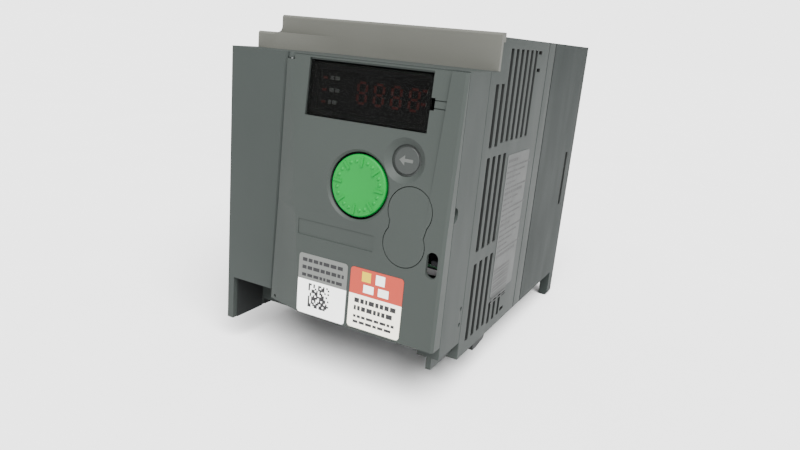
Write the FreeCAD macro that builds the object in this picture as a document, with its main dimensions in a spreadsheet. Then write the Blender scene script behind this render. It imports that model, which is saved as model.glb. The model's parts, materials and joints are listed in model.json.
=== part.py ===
"""Wall mounted variable frequency drive, as a parametric assembly of separate pieces.

Casing axes, in millimetres: X to the right, Y from the front seam back to the wall, Z up from the
bottom of the louvred casing. The finished pieces are moved so that the origin lies on the mounting
plane, at the centre of the four fixing points. Pieces of the keypad are drawn in their own axes, with
XZ in the sloping face of the door and Y straight into it.
"""
import FreeCAD, Part
import math
import os
import re
import Sketcher

SIZES = {
    # casing
    "casing_width": 105,
    "casing_height": 130,
    "casing_depth": 167,
    "wall": 2,
    "casing_front": 20,
    "casing_rear": 101,
    "casing_roof": 128,
    "step_front": 27,
    "left_shoulder": 41,
    "cover_top": 131.5,
    "cover_left": -49.6,
    "shelf_front": 14.7,
    "shelf_top": 124,
    "joint_gap": 0.3,
    # louvres in the sides, as columns along Y and rows along Z
    "louvre_first": 26.8,
    "louvre_pitch": 6.3,
    "louvre_width": 3,
    "snap_length": 4.4,
    "snap_height": 1.5,
    "seam_groove": 0.8,
    # front housing
    "housing_top": 117.3,
    "housing_roof": 1.7,
    "housing_depth": 19.6,
    "strip_bottom": 16.4,
    "cheek_flare": 1.2,
    "strip_chamfer": 1,
    "side_bottom": 11.9,
    "cheek_bottom": -3.5,
    # door
    "left_bottom": -27.6,
    "left_middle": -26.2,
    "left_top": -24.9,
    "flank_bottom": 2,
    "flank_middle": 1.2,
    "flank_top": 0.5,
    "door_bottom": 13.5,
    "door_middle": 58,
    "door_top": 116.8,
    "door_skin": 1.8,
    "door_bevel": 1,
    "bulge_bottom": 6.8,
    "bulge_middle": 6,
    "bulge_top": 1.7,
    "dish_top": 0.5,
    "crease_bottom": -9.6,
    "crease_middle": -13.8,
    "crease_top": -18.8,
    "hinge_x": -23.3,
    "hinge_y": 0.8,
    "barrel_radius": 1.5,
    "hinge_pin_radius": 0.6,
    "ear_height": 2.2,
    "ear_reach": 8,
    "panel_depth": 1,
    "panel_gap": 0.35,
    # keypad, in keypad axes
    "dial_x": 13.5,
    "dial_z": 13,
    "dial_radius": 12.1,
    "dial_gap": 0.9,
    "dial_front": 0.5,
    "dial_back": 2.6,
    "dial_web": 2,
    "spindle_radius": 3,
    "exit_x": 31.9,
    "exit_z": 25.6,
    "exit_cap_radius": 5.3,
    "exit_hole_radius": 6,
    "exit_cone_radius": 8.6,
    "exit_cone_depth": 1.8,
    "exit_front": 1.8,
    "window_left": -14,
    "window_right": 39.2,
    "window_low": 36.5,
    "window_high": 58.5,
    "carrier_left": -12.3,
    "carrier_right": 48.2,
    "carrier_front": 4.5,
    "carrier_back": 6.5,
    "board_front": 11,
    "board_thickness": 1.6,
    # rear
    "mount_spacing_x": 90,
    "mount_upper": 121,
    "mount_lower": -8,
    "slot_width": 5.2,
    "key_head": 9,
    "key_drop": 7,
    "foot_bottom": -14.5,
    "plate_rear": 107,
    "fin_rear": 160,
    "fin_pitch": 6.2,
    "fin_thickness": 1.6,
    # fan
    "fan_size": 48,
    "fan_y": 133,
    "fan_low": 4,
    "fan_high": 18,
    "rotor_radius": 21,
    # boards inside
    "power_board": 89,
    "control_board": 30,
}

doc = FreeCAD.newDocument("frequency_drive")
sheet = doc.addObject("Spreadsheet::Sheet", "Sizes")
for row, (alias, size) in enumerate(SIZES.items(), start=1):
    sheet.set(f"A{row}", alias)
    sheet.set(f"B{row}", str(size))
    sheet.setAlias(f"B{row}", alias)
doc.recompute()

sub_parts = []


# ---------------------------------------------------------------- expressions

def formula(text):
    """An expression of the document, from one written with bare aliases."""
    return re.sub(r"[a-z_]+", lambda word: f"Sizes.{word[0]}" if word[0] in SIZES else word[0], str(text))


def number(text):
    """The present value of an expression."""
    return float(sheet.evalExpression(formula(text)))


def bind(thing, prop, text):
    thing.setExpression(prop, formula(text))


def point(x, y, z):
    return FreeCAD.Vector(number(x), number(y), number(z))


MOUNT_MIDDLE = "(mount_upper + mount_lower) / 2"
KEYPAD_TILT = math.degrees(math.atan2(number("bulge_middle - dish_top"), number("door_top - door_middle")))
CASING_FRAME = FreeCAD.Placement(point(0, "-casing_depth", f"-{MOUNT_MIDDLE}"), FreeCAD.Rotation())
KEYPAD_FRAME = FreeCAD.Placement(
    point(0, "-casing_depth - bulge_middle", f"door_middle - {MOUNT_MIDDLE}"),
    FreeCAD.Rotation(FreeCAD.Vector(1, 0, 0), -KEYPAD_TILT),
)
KEYPAD_IN_CASING = CASING_FRAME.inverse().multiply(KEYPAD_FRAME)


def keep(thing, label, frame=CASING_FRAME):
    """Names a finished sub-part and moves it into the drive's own frame."""
    thing.Label = label
    thing.Placement = frame
    sub_parts.append(thing)
    return thing


# ---------------------------------------------------------------- primitives

def block(name, x, y, z):
    """A block between the low and high ends given for each axis."""
    solid = doc.addObject("Part::Box", name)
    for side, axis, (low, high) in zip(("Length", "Width", "Height"), "xyz", (x, y, z)):
        bind(solid, side, f"({high}) - ({low})")
        bind(solid, f"Placement.Base.{axis}", low)
    return solid


TURN = {
    "x": FreeCAD.Rotation(FreeCAD.Vector(0, 1, 0), 90),
    "y": FreeCAD.Rotation(FreeCAD.Vector(1, 0, 0), -90),
    "z": FreeCAD.Rotation(),
}


def lay_along(solid, axis, middle, low):
    """Stands a round solid along an axis: middle is its place on the other two axes, in order."""
    solid.Placement = FreeCAD.Placement(FreeCAD.Vector(), TURN[axis])
    places = dict(zip([other for other in "xyz" if other != axis], middle))
    places[axis] = low
    for name, place in places.items():
        bind(solid, f"Placement.Base.{name}", place)
    return solid


def rod(name, axis, middle, radius, low, high):
    solid = doc.addObject("Part::Cylinder", name)
    bind(solid, "Radius", radius)
    bind(solid, "Height", f"({high}) - ({low})")
    return lay_along(solid, axis, middle, low)


def cone(name, axis, middle, radii, low, high):
    solid = doc.addObject("Part::Cone", name)
    bind(solid, "Radius1", radii[0])
    bind(solid, "Radius2", radii[1])
    bind(solid, "Height", f"({high}) - ({low})")
    return lay_along(solid, axis, middle, low)


def join(name, pieces):
    solid = doc.addObject("Part::MultiFuse", name)
    solid.Shapes = pieces
    solid.Refine = True
    return solid


def group(name, pieces):
    """Separate solids that stay separate."""
    bunch = doc.addObject("Part::Compound", name)
    bunch.Links = pieces
    return bunch


def cut(name, base, tools):
    solid = doc.addObject("Part::Cut", name)
    solid.Base = base
    solid.Tool = tools[0] if len(tools) == 1 else join(f"{name}_tools", tools)
    solid.Refine = True
    return solid


def overlap(name, pieces):
    solid = doc.addObject("Part::MultiCommon", name)
    solid.Shapes = pieces
    return solid


# ---------------------------------------------------------------- sketched bodies

def new_body(name):
    return doc.addObject("PartDesign::Body", name)


def sketch_on(body, plane, height="0"):
    """A sketch on one of the body's own origin planes, raised along that plane's normal."""
    sketch = body.newObject("Sketcher::SketchObject", f"{body.Name}_sketch")
    support = next(item for item in body.Origin.OriginFeatures if item.Role == f"{plane}_Plane")
    sketch.AttachmentSupport = [(support, "")]
    sketch.MapMode = "FlatFace"
    bind(sketch, "AttachmentOffset.Base.z", height)
    return sketch


def fix_point(sketch, geometry, vertex, across, up):
    """Ties a point of the sketch to two expressions."""
    for kind, place in (("DistanceX", across), ("DistanceY", up)):
        index = sketch.addConstraint(Sketcher.Constraint(kind, geometry, vertex, number(place)))
        bind(sketch, f"Constraints[{index}]", place)


def draw_polygon(sketch, corners):
    spots = [FreeCAD.Vector(number(across), number(up), 0) for across, up in corners]
    first = sketch.GeometryCount
    count = len(spots)
    for index, spot in enumerate(spots):
        sketch.addGeometry(Part.LineSegment(spot, spots[(index + 1) % count]))
    for index, (across, up) in enumerate(corners):
        following = first + (index + 1) % count
        sketch.addConstraint(Sketcher.Constraint("Coincident", first + index, 2, following, 1))
        fix_point(sketch, first + index, 1, across, up)


def draw_circle(sketch, across, up, radius):
    middle = FreeCAD.Vector(number(across), number(up), 0)
    index = sketch.addGeometry(Part.Circle(middle, FreeCAD.Vector(0, 0, 1), number(radius)))
    fix_point(sketch, index, 3, across, up)
    size = sketch.addConstraint(Sketcher.Constraint("Radius", index, number(radius)))
    bind(sketch, f"Constraints[{size}]", radius)


def pad(body, sketch, length, reverse=False):
    feature = body.newObject("PartDesign::Pad", f"{body.Name}_pad")
    feature.Profile = sketch
    feature.Reversed = reverse
    bind(feature, "Length", length)
    body.Tip = feature
    return feature


def prism(name, plane, corners, low, high):
    """A straight solid on a polygon, between two places on the plane's remaining axis."""
    body = new_body(name)
    height = f"-({low})" if plane == "XZ" else low
    sketch = sketch_on(body, plane, height)
    draw_polygon(sketch, corners)
    pad(body, sketch, f"({high}) - ({low})", reverse=plane == "XZ")
    return body


def edges_where(shape, test):
    return [f"Edge{index}" for index, edge in enumerate(shape.Edges, start=1) if test(edge)]


def runs_along(edge, axis):
    """True for a straight edge along the axis given by number: 0 for X, 1 for Y, 2 for Z."""
    if not isinstance(edge.Curve, (Part.Line, Part.LineSegment)):
        return False
    direction = edge.tangentAt(edge.FirstParameter)
    return abs(direction[axis]) > 0.999


def round_edges(name, base, radius, test):
    """Rounds the chosen edges of a solid with Part's own fillet."""
    doc.recompute()
    fillet = doc.addObject("Part::Fillet", name)
    fillet.Base = base
    chosen = [index for index, edge in enumerate(base.Shape.Edges, start=1) if test(edge)]
    fillet.Edges = [(index, radius, radius) for index in chosen]
    return fillet


def plate(name, x, y, z, radius):
    """A thin plate in the XZ plane with rounded corners."""
    base = block(f"{name}_blank", x, y, z)
    return round_edges(name, base, radius, lambda edge: runs_along(edge, 1))


HALF = "casing_width / 2"
INNER = f"({HALF} - wall)"
CHEEK = f"-({HALF} + cheek_flare)"
BOTH = ((-1, "left"), (1, "right"))


def span(side, near, far):
    """The ends of a piece that lies between two distances from the middle, on one side."""
    if side > 0:
        return near, far
    return f"-({far})", f"-({near})"


# ---------------------------------------------------------------- casings

LOUVRE_GROUPS = (
    (range(0, 2), 88, 112.5),
    (range(2, 8), 89, 126),
    (range(0, 4), 45.5, 84),
    (range(0, 4), 6, 40),
    (range(4, 7), 4.8, 15),
)
SNAP_HOLES = ((78.1, 125.2), (78.1, 117.7), (71.7, 13.9), (71.7, 6.1))


def louvre_slots():
    slots = []
    for number_of_group, (columns, low, high) in enumerate(LOUVRE_GROUPS):
        for column in columns:
            front = f"louvre_first + {column} * louvre_pitch"
            name = f"louvre_{number_of_group}_{column}"
            slots.append(block(name, ("-60", "60"), (front, f"{front} + louvre_width"), (low, high)))
    return slots


SHOULDER_FRONTS = {
    "left": ("left_shoulder - wall", "left_shoulder - wall"),
    "right": ("step_front + wall", "step_front + 2 * wall"),
}


def main_casing():
    """The louvred shell: two sides, a floor, the step behind the front housing and a front lip."""
    pieces = []
    for side, word in BOTH:
        across = span(side, INNER, HALF)
        pieces.append(block(f"{word}_side", across, ("casing_front", "casing_rear"), (0, "housing_top")))
        shoulder, rim = SHOULDER_FRONTS[word]
        upper = ("housing_top", "casing_roof")
        pieces.append(block(f"{word}_shoulder", across, (shoulder, "casing_rear"), upper))
        pieces.append(block(f"{word}_rim", across, (rim, "casing_rear"), ("casing_roof", "casing_height")))
    return_high = ("housing_top", "casing_roof")
    return_across = ("cover_left", "cover_left + wall")
    pieces.append(block("left_return", return_across, ("step_front + wall", "left_shoulder"), return_high))
    stub_across = (f"-{INNER} - 1", "cover_left + wall")
    pieces.append(block("left_stub", stub_across, ("left_shoulder - wall", "left_shoulder"), return_high))
    inside = (f"-{INNER}", INNER)
    ledge = ("housing_top - housing_roof", "housing_top")
    pieces.append(block("ledge", inside, ("casing_front", "step_front + 6"), ledge))
    pieces.append(block("floor", inside, (44, "casing_rear"), (0, "wall")))
    pieces.append(block("front_lip", inside, ("casing_front", "casing_front + wall"), (0, 12)))
    openings = louvre_slots()
    for index, (y, z) in enumerate(SNAP_HOLES):
        deep = (f"{y} - snap_length / 2", f"{y} + snap_length / 2")
        high = (f"{z} - snap_height / 2", f"{z} + snap_height / 2")
        openings.append(block(f"snap_hole_{index}", (-60, 60), deep, high))
    for column in range(8):
        front = f"50 + {column} * louvre_pitch"
        deep = (front, f"{front} + louvre_width")
        openings.append(block(f"floor_vent_{column}", (-40, 40), deep, (-1, 3)))
    for column in range(4):
        left = f"-44 + {column} * 22"
        openings.append(block(f"lip_notch_{column}", (left, f"{left} + 16"), (19, 23), (3, 13)))
    for side, word in BOTH:
        across = span(side, f"{HALF} - 0.4", f"{HALF} + 1")
        openings.append(block(f"{word}_band_groove", across, (90.6, 91.2), (-1, 131)))
    keep(cut("MainCasing", join("casing_walls", pieces), openings), "main_casing")


def top_cover():
    """Front skirt and vent grille of the roof, with a tapering shelf at the left of the skirt."""
    front_wide = ("cover_left", HALF)
    skirt = block("skirt", front_wide, ("step_front", "step_front + wall"), ("housing_top", "cover_top"))
    crown = block("crown", front_wide, ("step_front", "step_front + 2 * wall"), ("casing_roof", "cover_top"))
    roof = block(
        "roof", (f"-{INNER}", INNER), ("step_front + 2 * wall - 0.5", "casing_rear"),
        ("casing_roof", "casing_height"),
    )
    shelf = prism(
        "shelf", "XY",
        [
            (f"-{HALF}", "shelf_front"),
            (f"-{HALF} + 8", "shelf_front"),
            (f"-{HALF} + 34", "step_front + 1"),
            (f"-{HALF}", "step_front + 1"),
        ],
        "housing_top", "shelf_top",
    )
    corner = block("shelf_corner", (f"-{HALF}", "cover_left + 1"), ("step_front", "step_front + wall"),
                   ("housing_top", "shelf_top"))
    shell = join("cover_shell", [skirt, crown, roof, shelf, corner])
    vents = []
    for column in range(14):
        left = f"-43.4 + {column} * 6.4"
        for line, (front, back) in enumerate(((36, 62), (66, 94))):
            name = f"roof_vent_{column}_{line}"
            across = (left, f"{left} + 3.4")
            vents.append(block(name, across, (front, back), ("casing_roof - 1", "cover_top")))
    vented = cut("cover_vented", shell, vents)

    def fillet_corner(edge):
        middle = edge.CenterOfMass
        at_corner = abs(middle.x - number("cover_left")) < 0.01 and abs(middle.z - number("shelf_top")) < 0.01
        return at_corner and runs_along(edge, 1)

    swept = round_edges("cover_swept", vented, 2.6, fillet_corner)

    def outer_edge(edge):
        middle = edge.CenterOfMass
        at_front = abs(middle.y - number("step_front")) < 0.01
        top_front = runs_along(edge, 0) and abs(middle.z - number("cover_top")) < 0.01 and at_front
        shelf_nose = abs(middle.z - number("shelf_top")) < 0.01 and middle.y < number("shelf_front") + 1
        shelf_nose = shelf_nose and runs_along(edge, 0)
        return top_front or shelf_nose

    keep(round_edges("TopCover", swept, 1.2, outer_edge), "top_cover")


def strip_edge(left, flank):
    """Where the left strip ends, just clear of the door's left corner as it swings past."""
    return f"hinge_x - joint_gap - sqrt(({left} - hinge_x)^2 + ({flank} + hinge_y)^2)"


EDGE_BOTTOM = strip_edge("left_bottom", "flank_bottom")
EDGE_TOP = strip_edge("left_top", "flank_top")


def left_strip():
    """The strip left of the door and the duct wall behind its edge, both leaning with the door."""
    def corners(edge):
        return [
            (CHEEK, 0),
            (f"{edge} - strip_chamfer", 0),
            (edge, "strip_chamfer"),
            (edge, "housing_depth"),
            (f"{edge} - wall", "housing_depth"),
            (f"{edge} - wall", "wall"),
            (CHEEK, "wall"),
        ]

    return loft("left_strip", [("strip_bottom", corners(EDGE_BOTTOM)), ("housing_top", corners(EDGE_TOP))])


def hinge_ears():
    """The two ears that hold the hinge pins, each on an arm that reaches in from behind the door."""
    top = "housing_top"
    root_across = (f"{EDGE_BOTTOM} - wall", EDGE_BOTTOM)
    bridge_deep = ("ear_reach - 1.5", "ear_reach")
    pieces = [block("lower_ear_root", root_across, bridge_deep, ("door_bottom", "strip_bottom + 1"))]
    ears = (
        ("upper", EDGE_TOP, f"{top} - ear_height", top),
        ("lower", EDGE_BOTTOM, "door_bottom", "door_bottom + ear_height"),
    )
    for word, edge, low, high in ears:
        pieces.append(rod(f"{word}_ear", "z", ("hinge_x", "hinge_y"), "barrel_radius", low, high))
        across = ("hinge_x - 1", "hinge_x + 1")
        pieces.append(block(f"{word}_arm", across, ("hinge_y", "ear_reach"), (low, high)))
        bridge = (f"{edge} - wall", "hinge_x + 1")
        pieces.append(block(f"{word}_bridge", bridge, bridge_deep, (low, high)))
    return pieces


def front_housing():
    """The open front frame: left strip, both cheeks, roof, duct wall, hinge ears and cable ribs."""
    top = "housing_top"
    back = "housing_depth"
    roof = (f"{top} - housing_roof", top)
    pieces = [
        left_strip(),
        block("left_cheek", (CHEEK, f"-{INNER}"), (0, back), ("cheek_bottom", top)),
        block("left_tongue", (f"-{HALF}", f"-{INNER}"), (0, 32), ("cheek_bottom", "-joint_gap")),
        block("right_cheek", (INNER, HALF), (0, back), ("side_bottom", top)),
        block("left_roof", (CHEEK, f"{EDGE_TOP} - strip_chamfer"), (0, back), roof),
        block("right_roof", ("hinge_x + 1", HALF), (0, back), roof),
        block("rear_roof", (CHEEK, HALF), ("wall", back), roof),
        block("rib_front", (47.3, 49.5), (0, back), (3, 13)),
        block("rib_shelf", (43.2, HALF), (0, back), (8, "side_bottom + 1.6")),
    ]
    pieces += hinge_ears()
    holes = [
        rod("pin_holes", "z", ("hinge_x", "hinge_y"), "hinge_pin_radius", "door_bottom - 2", f"{top} - 0.7"),
        rod("finger_notch", "x", (0, 66), 3, 50, 53),
        rod("side_clip_upper", "x", (17.6, 23.9), 0.9, 50, 53),
        rod("side_clip_lower", "x", (17.6, 16.9), 0.9, 50, 53),
    ]
    keep(cut("FrontHousing", join("housing_walls", pieces), holes), "front_housing")


def compartment_liner():
    """Thin black sheets that line the left wall beside the cable entry, before and behind the lip."""
    across = (f"-{INNER}", f"-{INNER} + 0.5")
    tall = ("cheek_bottom", 40)
    front = block("liner_front", across, ("wall + 0.5", "casing_front - 0.2"), tall)
    rear = block("liner_rear", across, ("casing_front + wall + 0.2", 43), tall)
    keep(group("CompartmentLiner", [front, rear]), "compartment_liner")


def base_clip():
    """Small wedge-shaped clip under the right edge of the casing."""
    side = prism("clip_side", "YZ", [(38, 0), (38.5, -3), (42.5, -3), (51, -1.8), (52, 0)], 49, 52.3)
    keep(group("BaseClip", [side]), "base_clip")


def cable_guard():
    """Comb plate that carries the cables in below the door."""
    bar = block("guard_bar", ("-22", "42.8"), (14, 16), (3, 12.8))
    notches = []
    for index in range(6):
        left = f"-19 + {index} * 10.2"
        notches.append(block(f"guard_notch_{index}", (left, f"{left} + 6"), (13, 17), (2, 9)))
    shelf = block("guard_shelf", ("-22", "42.8"), (14, "housing_depth"), (11.2, 12.8))
    keep(join("CableGuard", [cut("guard_comb", bar, notches), shelf]), "cable_guard")


# ---------------------------------------------------------------- door

def door_section(left, flank, crease, bulge, grow="0"):
    """Corners of the door's cross-section in XY, from the hinge side round to the back."""
    right = HALF
    return [
        (left, "hinge_y"),
        (left, f"-{flank}"),
        (crease, f"-{bulge} - {grow}"),
        (f"{right} - door_bevel", f"-{bulge} - {grow}"),
        (right, f"-{bulge} - {grow} + door_bevel"),
        (right, "-joint_gap"),
        (f"{right} - 2.6", "-joint_gap"),
        (f"{right} - 2.6", "wall + joint_gap"),
        ("hinge_x", "wall + joint_gap"),
    ]


DOOR_LEVELS = (
    ("door_bottom", "left_bottom", "flank_bottom", "crease_bottom", "bulge_bottom"),
    ("door_middle", "left_middle", "flank_middle", "crease_middle", "bulge_middle"),
    ("door_top", "left_top", "flank_top", "crease_top", "bulge_top"),
)


def loft(name, sections):
    """A ruled loft through polygons at rising heights."""
    body = new_body(name)
    sketches = []
    for height, corners in sections:
        sketch = sketch_on(body, "XY", height)
        draw_polygon(sketch, corners)
        sketches.append(sketch)
    feature = body.newObject("PartDesign::AdditiveLoft", f"{name}_loft")
    feature.Profile = sketches[0]
    feature.Sections = sketches[1:]
    feature.Ruled = True
    body.Tip = feature
    return body


def door_outer(name, grow="0"):
    return loft(name, [(height, door_section(*corners, grow)) for height, *corners in DOOR_LEVELS])


def dish_wedge(name):
    """What the shallow dish of the keypad takes off the front of the door."""
    side = prism(
        f"{name}_profile", "YZ",
        [
            ("-12", "door_middle"),
            ("-bulge_middle", "door_middle"),
            ("-dish_top", "door_top"),
            ("-dish_top + 0.1", "door_top + 1"),
            ("-12", "door_top + 1"),
        ],
        -26, 50,
    )
    front = prism(
        f"{name}_outline", "XZ",
        [(-26, 56), (43.4, 56), (46.4, 119), (-26, 119)],
        -14, 4,
    )
    return overlap(name, [side, front])


def door_hollow():
    """The space behind the skin, which leaves a rim on all sides."""
    def corners(crease, depth):
        return [(crease, f"-{depth}"), ("48.6", f"-{depth}"), ("48.6", "4"), (crease, "4")]

    return loft("door_hollow", [
        ("door_bottom + 2", corners("crease_bottom + 1", "bulge_bottom + door_skin")),
        ("door_middle", corners("crease_middle + 1", "bulge_middle + door_skin")),
        ("door_top - 3.6", corners("crease_top + 2", "dish_top + door_skin - 0.3")),
    ])


def in_keypad(solid):
    """Moves a tool drawn in keypad axes into casing axes."""
    holder = group(f"{solid.Name}_placed", [solid])
    holder.Placement = KEYPAD_IN_CASING
    return holder


def peanut(name, gap):
    """The two-lobed outline of the blank panel, narrowed by a gap all round."""
    deep = (-9, -1)
    upper = rod(f"{name}_upper", "y", (36.9, 65.6), f"9.3 - {gap}", *deep)
    lower = rod(f"{name}_lower", "y", (35.8, 52.6), f"8.9 - {gap}", *deep)
    waist = prism(
        f"{name}_waist", "XZ",
        [
            (f"28.6 + {gap}", 54.6),
            (f"43.4 - {gap}", 54.6),
            (f"44.6 - {gap}", 60),
            (f"44.6 - {gap}", 62.8),
            (f"29 + {gap}", 62.8),
        ],
        *deep,
    )
    return join(name, [upper, lower, waist])


def door_face(name, depth):
    """The door's outer form with its dish, moved back by a depth."""
    solid = cut(f"{name}_form", door_outer(f"{name}_outer"), [dish_wedge(f"{name}_dish")])
    holder = group(name, [solid])
    holder.Placement = FreeCAD.Placement(point(0, depth, 0), FreeCAD.Rotation())
    return holder


def front_door():
    """The hinged door, its hollow back, dish, window, dial well and button recess."""
    shell = cut("door_shell", door_outer("door_outer"), [door_hollow()])
    barrel = rod("door_barrel", "z", ("hinge_x", "hinge_y"), "barrel_radius", "door_bottom", "door_top")
    blank = join("door_blank", [shell, barrel])
    well = rod("dial_well", "y", ("dial_x", "dial_z"), "dial_radius + dial_gap", -9, 9)
    well_rim = cone("dial_rim", "y", ("dial_x", "dial_z"),
                    ("dial_radius + dial_gap + 1", "dial_radius + dial_gap"), -0.1, 0.9)
    exit_middle = ("exit_x", "exit_z")
    exit_hole = rod("exit_hole", "y", exit_middle, "exit_hole_radius", -9, 9)
    exit_cone = cone("exit_cone", "y", exit_middle, ("exit_cone_radius", "exit_hole_radius"), -0.1,
                     "exit_cone_depth")
    window = block("window_hole", ("window_left", "window_right"), (-9, 9), ("window_low", "window_high"))
    catch = block("catch_notch", ("window_right - 1", "window_right + 1.6"), (-1, 9), (44.8, 49.2))
    groove_high = block("catch_groove_high", ("window_right + 1", 46.4), (-0.3, 0.4), (48.2, 48.6))
    groove_low = block("catch_groove_low", ("window_right + 1", 46.4), (-0.3, 0.4), (45.4, 45.8))
    eyelet = join("eyelet_hole", [
        rod("eyelet_top", "y", (48.2, 50.2), 2.3, -9, 4),
        rod("eyelet_low", "y", (48.2, 44.6), 2.3, -9, 4),
        block("eyelet_middle", (45.9, 50.5), (-9, 4), (44.6, 50.2)),
    ])
    strip = block("name_recess", (-12, 23), ("-bulge_middle - 2", "-bulge_middle + 0.15"), (46.9, 53.4))
    ear_room = "hinge_x + barrel_radius + 0.6"
    ear_deep = ("hinge_y - barrel_radius - joint_gap", 6)
    tools = [
        dish_wedge("dish"),
        strip,
        eyelet,
        cut("panel_pocket", peanut("pocket_outline", 0), [door_face("pocket_floor", "panel_depth")]),
        block("top_ear_room", ("-30", ear_room), ear_deep, ("housing_top - ear_height - joint_gap", 120)),
        block("low_ear_room", ("-30", ear_room), ear_deep, (10, "door_bottom + ear_height + joint_gap")),
        block("roof_room", ("-30", 60), ("-joint_gap", 6), ("housing_top - housing_roof - joint_gap", 120)),
        rod("pin_dimple", "y", ("left_bottom + 2.6", "door_bottom + 1.6"), 0.7, -9, "-flank_bottom + 0.3"),
        rod("barrel_bore", "z", ("hinge_x", "hinge_y"), "hinge_pin_radius + 0.05", 10, 120),
    ]
    keypad_tools = (well, well_rim, exit_hole, exit_cone, window, catch, groove_high, groove_low)
    tools += [in_keypad(tool) for tool in keypad_tools]
    keep(cut("FrontDoor", blank, tools), "front_door")


def film(name, outline, thickness):
    """A thin film lying on the lower face of the door, inside an outline."""
    raised = door_outer(f"{name}_raised", thickness)
    piece = overlap(f"{name}_piece", [raised, outline])
    return cut(f"{name}_film", piece, [door_outer(f"{name}_face")])


def door_labels():
    type_outline = plate("type_outline", (-10.4, 12.9), (-12, -4), (13.9, 39.5), 1.4)
    keep(film("TypeLabel", type_outline, "0.15"), "type_label")
    notice_outline = plate("notice_outline", (14.4, 37.8), (-12, -4), (14.5, 39.5), 1.4)
    keep(film("NoticeLabel", notice_outline, "0.15"), "notice_label")


def blanking_panel():
    """The plain two-lobed panel that fills the pocket right of the dial."""
    whole = overlap("panel_whole", [door_face("panel_front", 0), peanut("panel_outline", "panel_gap")])
    keep(cut("BlankingPanel", whole, [door_face("panel_back", "panel_depth")]), "blanking_panel")


def seal_eyelet():
    """The lug with a hole that stands in the oval opening of the door."""
    post = block("seal_post", (46.6, 49.8), (-3.4, 6), (46.6, 48.4))
    foot = block("seal_foot", (46.6, "casing_width / 2 - wall"), (4, 6), (44, 51))
    hole = rod("seal_hole", "z", (48.2, -1.6), 0.9, 46, 49)
    keep(cut("SealEyelet", join("seal_solid", [post, foot]), [hole]), "seal_eyelet")


def side_label():
    blank = block("side_blank", (HALF, f"{HALF} + 0.15"), (52, 81.5), (17.5, 82.5))
    keep(round_edges("SideLabel", blank, 1.2, lambda edge: runs_along(edge, 0)), "side_label")


def hinge_pins():
    upper_low = "housing_top - ear_height"
    lower_high = "door_bottom + ear_height"
    at = ("hinge_x", "hinge_y")
    upper = rod("upper_pin", "z", at, "hinge_pin_radius", f"{upper_low} - 6", "housing_top - 0.7")
    lower = rod("lower_pin", "z", at, "hinge_pin_radius", "door_bottom", f"{lower_high} + 6")
    keep(group("UpperPin", [upper]), "upper_hinge_pin")
    keep(group("LowerPin", [lower]), "lower_hinge_pin")


# ---------------------------------------------------------------- keypad

def keypad_carrier():
    """The plate behind the door that holds the display, the dial and the button, with its two arms."""
    deep = ("carrier_front", "carrier_back")
    tall = (0, 55)
    arm_tall = (12, 55)
    arm_deep = ("board_front - 1.8", "board_front - 0.2")
    web_deep = ("carrier_front", "board_front - 0.2")
    frame_across = ("window_left + 0.6", "window_right - 0.6")
    frame_tall = ("window_low + 0.6", "window_high - 1.7")
    pieces = [
        block("carrier_plate", ("carrier_left", "carrier_right"), deep, (-1, 56.4)),
        block("window_frame", frame_across, (2.6, "carrier_front"), frame_tall),
        block("left_web", ("carrier_left", "carrier_left + 1.3"), web_deep, tall),
        block("right_web", ("carrier_right - 1.3", "carrier_right"), web_deep, tall),
        block("left_arm", (EDGE_TOP, "carrier_left + 1.3"), arm_deep, arm_tall),
        block("right_arm", ("carrier_right - 1.3", INNER), arm_deep, arm_tall),
    ]
    holes = [
        block("frame_inside", (-11, 36.4), (2, 7), (39.4, 54.8)),
        rod("hub_hole", "y", ("dial_x", "dial_z"), 5.4, 4, 7),
        rod("stem_hole", "y", ("exit_x", "exit_z"), 2.6, 4, 7),
    ]
    keep(cut("KeypadCarrier", join("carrier_solid", pieces), holes), "keypad_carrier", KEYPAD_FRAME)


def display_window():
    size = ("window_left + 0.35", "window_right - 0.35")
    pane = plate("DisplayWindow", size, (0.5, 2.6), ("window_low + 0.35", "window_high - 1.2"), 0.8)
    keep(group("WindowGroup", [pane]), "display_window", KEYPAD_FRAME)


DIGIT_WIDTH = 4.6
DIGIT_HEIGHT = 8.6
DIGIT_PITCH = 7.4
STROKE = 0.9


def digit_segments(index):
    """The seven bars of one digit, left to right and bottom to top."""
    left = 6.2 + index * DIGIT_PITCH
    low = 43.2
    middle = low + (DIGIT_HEIGHT - STROKE) / 2
    top = low + DIGIT_HEIGHT - STROKE
    right = left + DIGIT_WIDTH - STROKE
    deep = (3.6, 4.0)
    clear = STROKE + 0.15
    bars = []
    for name, height in (("low", low), ("middle", middle), ("top", top)):
        across = (left + clear, left + DIGIT_WIDTH - clear)
        bars.append(block(f"digit_{index}_{name}", across, deep, (height, height + STROKE)))
    for name, x in (("left", left), ("right", right)):
        for level, (start, stop) in (("lower", (low, middle)), ("upper", (middle, top))):
            bar = (start + clear, stop - 0.15)
            bars.append(block(f"digit_{index}_{name}_{level}", (x, x + STROKE), deep, bar))
    return bars


def display():
    module = block("module_body", (-11, 36.4), (4, "board_front"), (39.4, 54.8))
    keep(group("DisplayModule", [module]), "display_module", KEYPAD_FRAME)
    bars = [bar for index in range(4) for bar in digit_segments(index)]
    keep(group("DisplayDigits", bars), "display_digits", KEYPAD_FRAME)
    lamps = []
    for index, (x, z) in enumerate(((-8.6, 51.6), (-8.6, 47), (-8.6, 42.4), (34.6, 51.2), (34.6, 46.4))):
        lamps.append(block(f"lamp_{index}", (x - 0.9, x + 0.9), (3.6, 4), (z - 0.5, z + 0.5)))
    keep(group("IndicatorLamps", lamps), "indicator_lamps", KEYPAD_FRAME)


KEYPAD_SCREWS = ((-7.8, 3), (43.8, 3), (-7.8, 34), (43.8, 51))


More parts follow.
